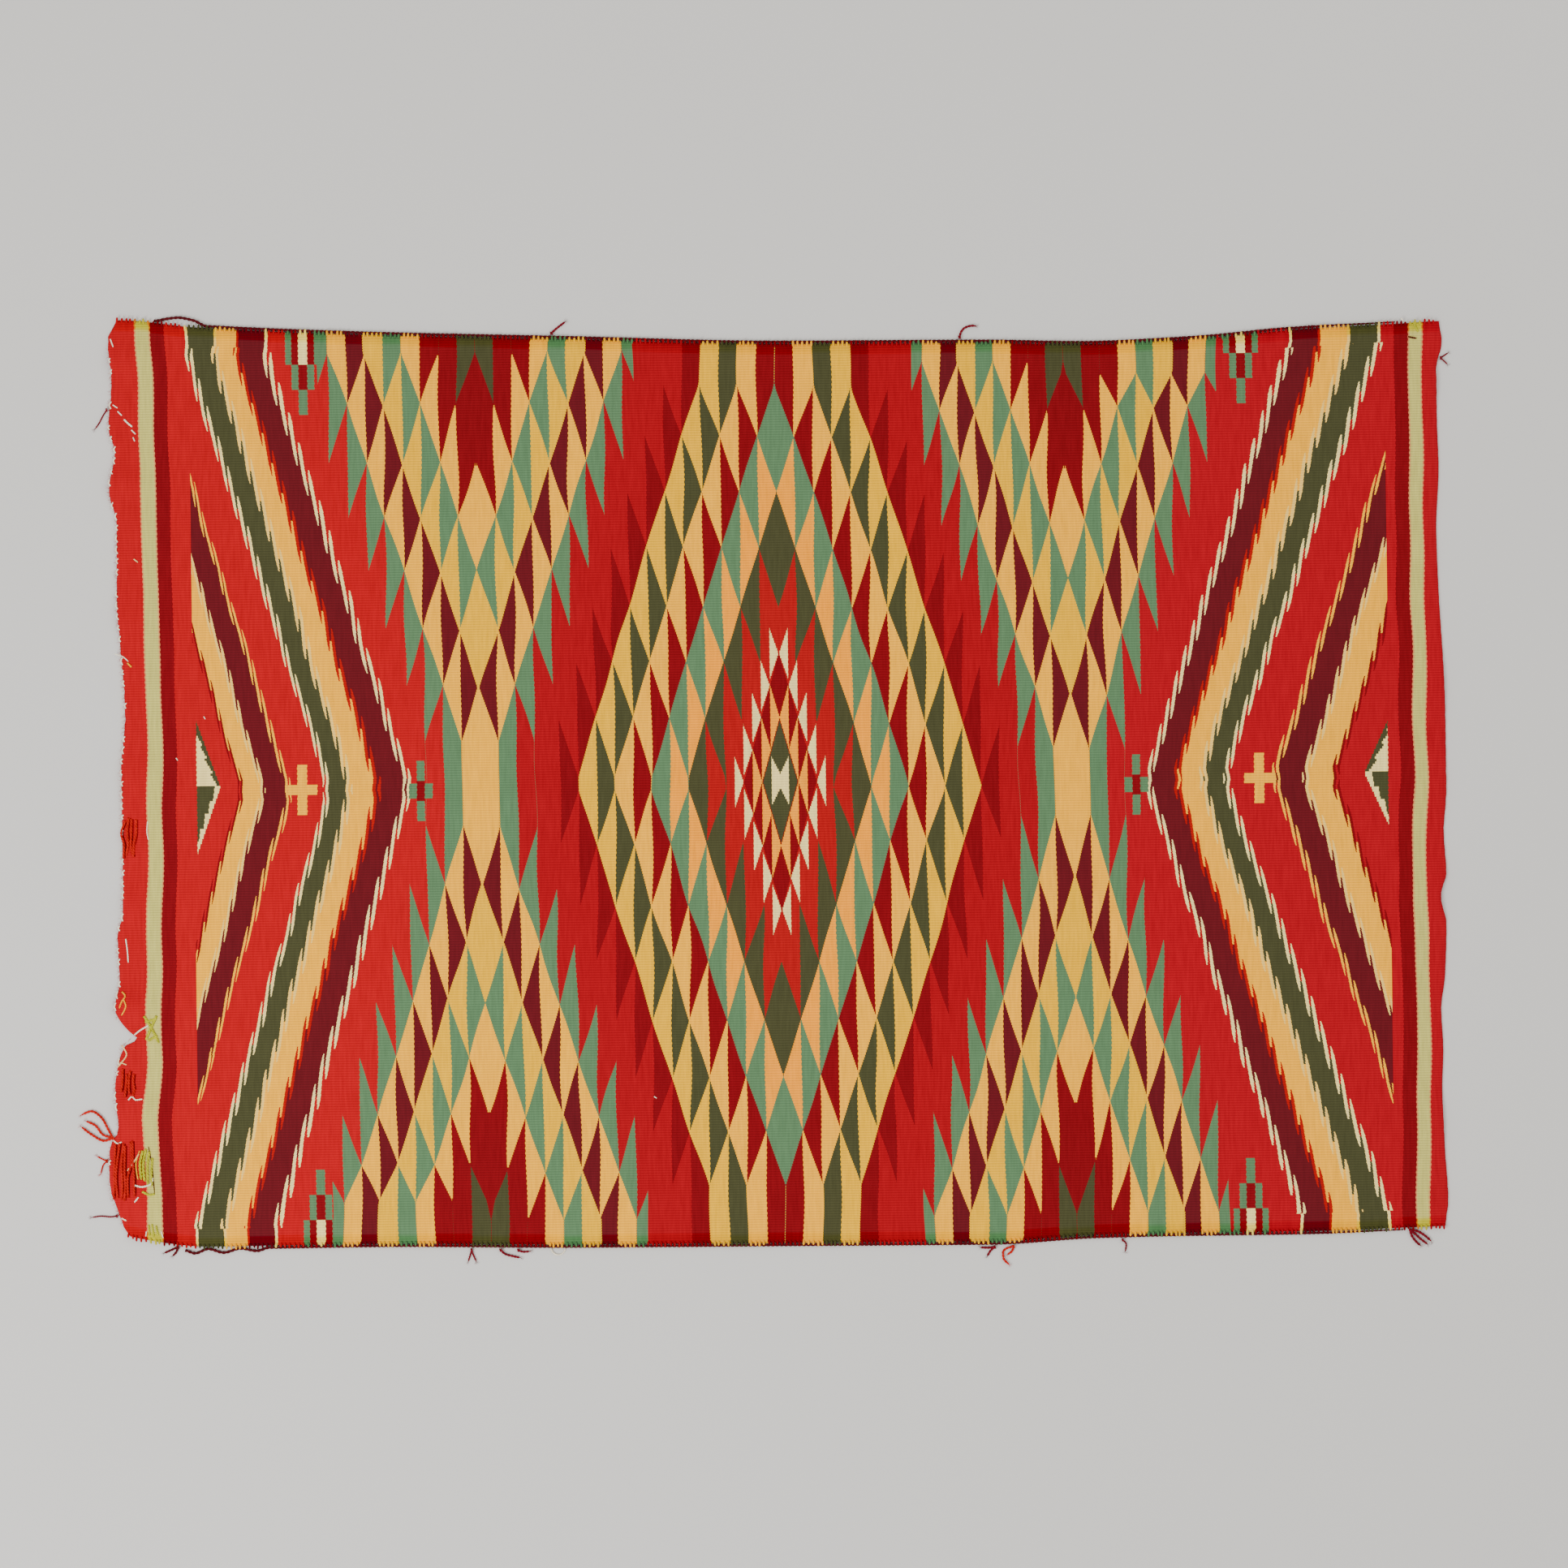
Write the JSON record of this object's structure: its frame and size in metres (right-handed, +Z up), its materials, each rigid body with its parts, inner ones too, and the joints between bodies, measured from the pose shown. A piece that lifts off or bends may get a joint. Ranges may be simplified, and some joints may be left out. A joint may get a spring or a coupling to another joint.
{
  "type": "navajo blanket",
  "caption": "Small hand-woven wool blanket with serrate diamonds and chevrons, laid flat, with twined edge cords and loose yarn ends at its worn edges.",
  "frame": {"origin": "on the floor, under the middle of the whole part's box", "axes": "+X along the warps, to the sound end of the blanket; +Y across them, to the top edge as the picture shows it; +Z up out of the face"},
  "size_m": [1.3288, 0.9218, 0.0072],
  "materials": {
    "wool_weave": "matt weft-faced wool, figured in scarlet, crimson, maroon, cream, gold, teal, olive, pale green and white",
    "edge_cord": "matt twined wool cord",
    "scarlet_yarn": "matt plied wool yarn",
    "crimson_yarn": "matt plied wool yarn",
    "cotton_warp": "matt white cotton string"
  },
  "bodies": {
    "root": {"blanket_cloth": "wool_weave", "selvedge_cord_top": "edge_cord", "selvedge_cord_bottom": "edge_cord", "loose_end_bottom_1": "crimson_yarn", "loose_end_bottom_2": "crimson_yarn", "loose_end_bottom_3": "crimson_yarn", "loose_end_bottom_4": "crimson_yarn", "loose_end_bottom_5": "scarlet_yarn", "loose_end_bottom_6": "crimson_yarn", "loose_end_top_1": "crimson_yarn", "loose_end_top_2": "crimson_yarn", "corner_tassel_lower_right": "crimson_yarn", "corner_yarn_lower_left": "edge_cord", "yarn_bundle_left": "scarlet_yarn", "yarn_fray_left_1": "scarlet_yarn", "yarn_fray_left_2": "crimson_yarn", "yarn_fray_left_3": "crimson_yarn", "yarn_fray_right": "crimson_yarn", "warp_loop_bottom": "cotton_warp"}
  },
  "joints": []
}
